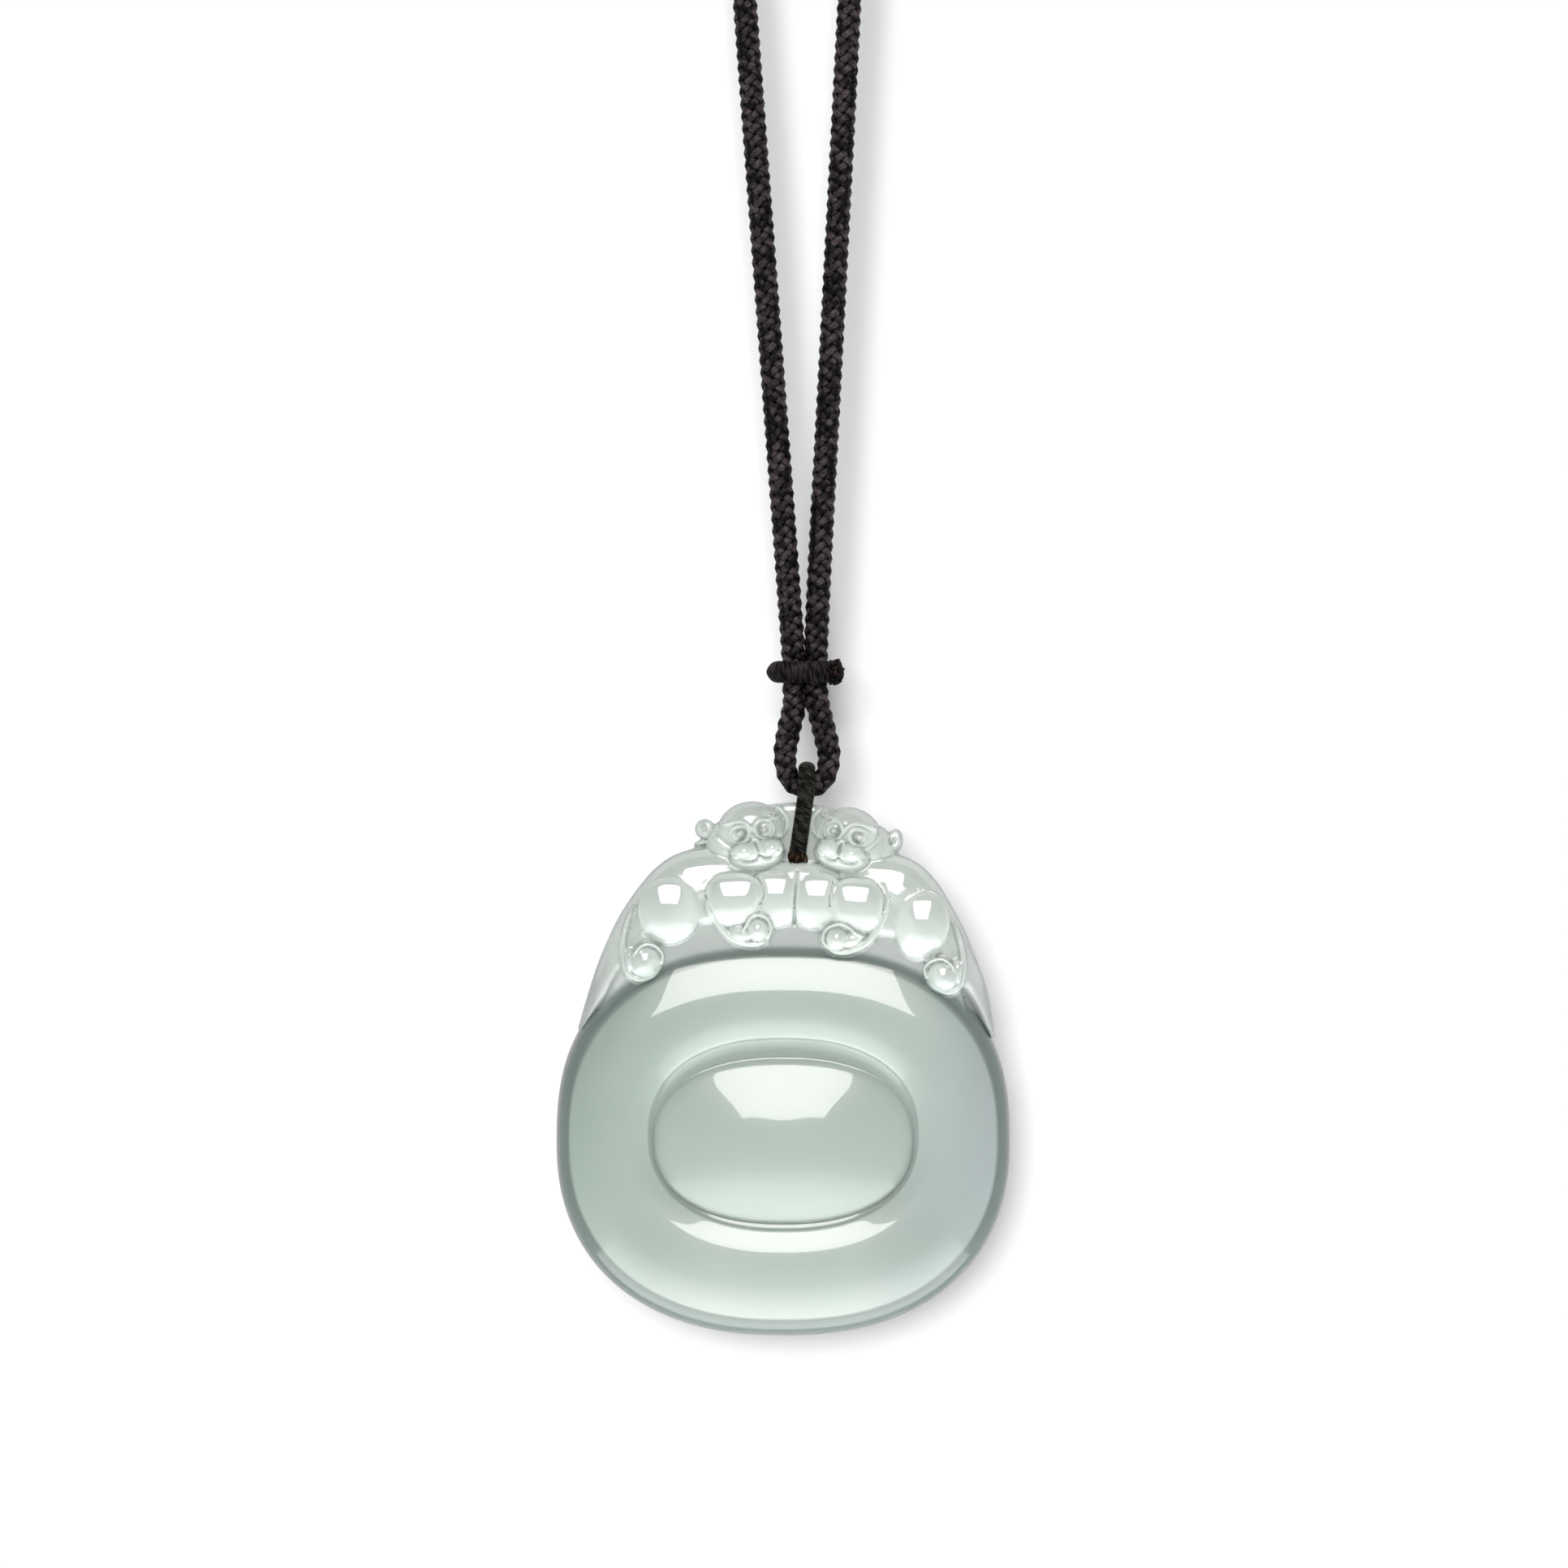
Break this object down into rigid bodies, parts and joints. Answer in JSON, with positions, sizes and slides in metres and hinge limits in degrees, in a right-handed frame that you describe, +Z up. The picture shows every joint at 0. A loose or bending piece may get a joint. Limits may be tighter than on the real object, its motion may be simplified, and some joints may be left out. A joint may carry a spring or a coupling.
{
  "type": "jade pendant necklace",
  "caption": "Carved oval jade pendant with a ring, a raised dome and crouching monkeys, hung by a wound bail from a looped braided neck cord.",
  "frame": {"origin": "inner top of the neck cord's loop, where the necklace hangs or rests on the nape", "axes": "+Z up, from the pendant to the nape; +X to the right as the carved front is seen; -Y is the carved front"},
  "size_m": [0.0469, 0.0088, 0.3455],
  "materials": {
    "jade": "polished, translucent",
    "braided_cord": "braided silk or nylon, soft sheen",
    "wound_thread": "wound waxed thread, soft sheen"
  },
  "bodies": {
    "cord": {"neck_cord": "braided_cord", "cord_join": "wound_thread", "keeper": "wound_thread"},
    "pendant": {"bail": "wound_thread", "jade_pendant": "jade"}
  },
  "joints": [
    {"name": "pendant_swing", "type": "hinge", "parent": "cord", "child": "pendant", "pos_m": [0.0032, 0, -0.2852], "axis": [1, 0, 0], "range_deg": [-90, 90]}
  ]
}
